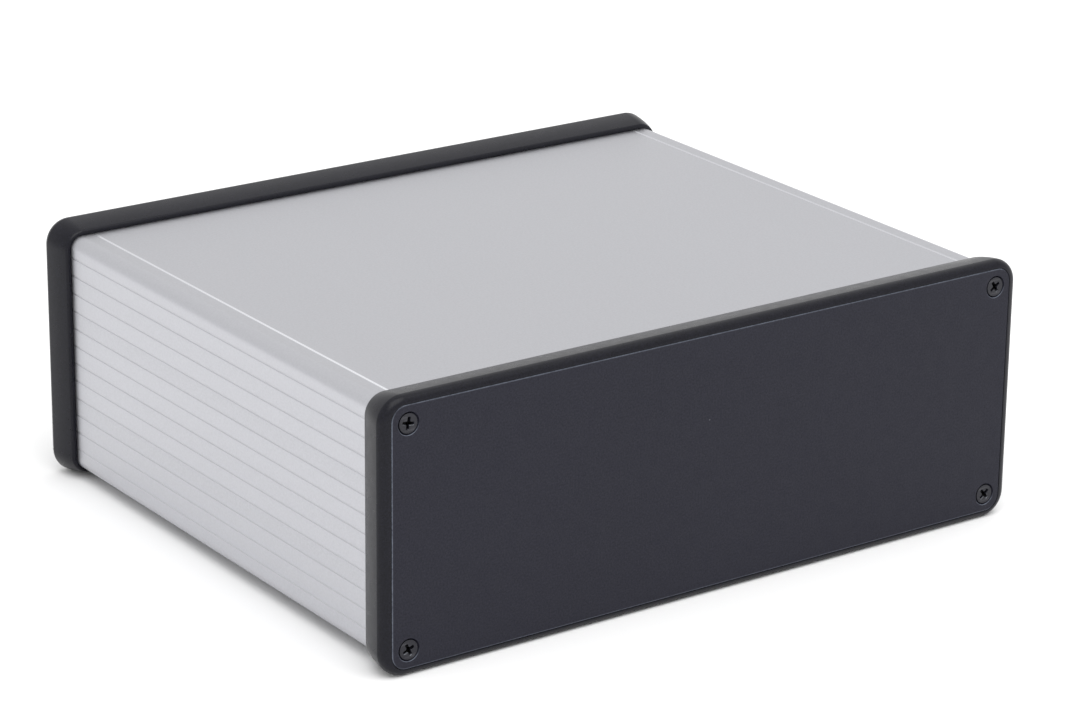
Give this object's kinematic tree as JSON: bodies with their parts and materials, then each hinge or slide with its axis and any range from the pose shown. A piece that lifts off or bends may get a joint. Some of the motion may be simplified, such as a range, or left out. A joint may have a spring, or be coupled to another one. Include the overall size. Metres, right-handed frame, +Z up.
{
  "type": "extruded aluminium enclosure",
  "caption": "Desktop instrument enclosure: grooved aluminium extrusion with a slide-in top cover, rounded black end bezels and flat screwed end panels.",
  "frame": {"origin": "centre of the footprint, on the surface the bezels stand on", "axes": "+X to the right across the front panel, +Y from the front panel to the rear panel, +Z up"},
  "size_m": [0.2, 0.169, 0.0728],
  "materials": {
    "body_aluminium": "clear satin anodised extrusion",
    "cover_aluminium": "clear satin anodised extrusion",
    "bezel_plastic": "black moulded plastic, satin",
    "panel_black": "black anodised sheet, matte",
    "screw_black": "black finished steel"
  },
  "bodies": {
    "root": {"body_extrusion": "body_aluminium", "slide_in_cover": "cover_aluminium", "front_bezel": "bezel_plastic", "rear_bezel": "bezel_plastic", "front_panel": "panel_black", "rear_panel": "panel_black", "front_screw_top_left": "screw_black", "front_screw_top_right": "screw_black", "front_screw_bottom_left": "screw_black", "front_screw_bottom_right": "screw_black", "rear_screw_top_left": "screw_black", "rear_screw_top_right": "screw_black", "rear_screw_bottom_left": "screw_black", "rear_screw_bottom_right": "screw_black"}
  },
  "joints": []
}
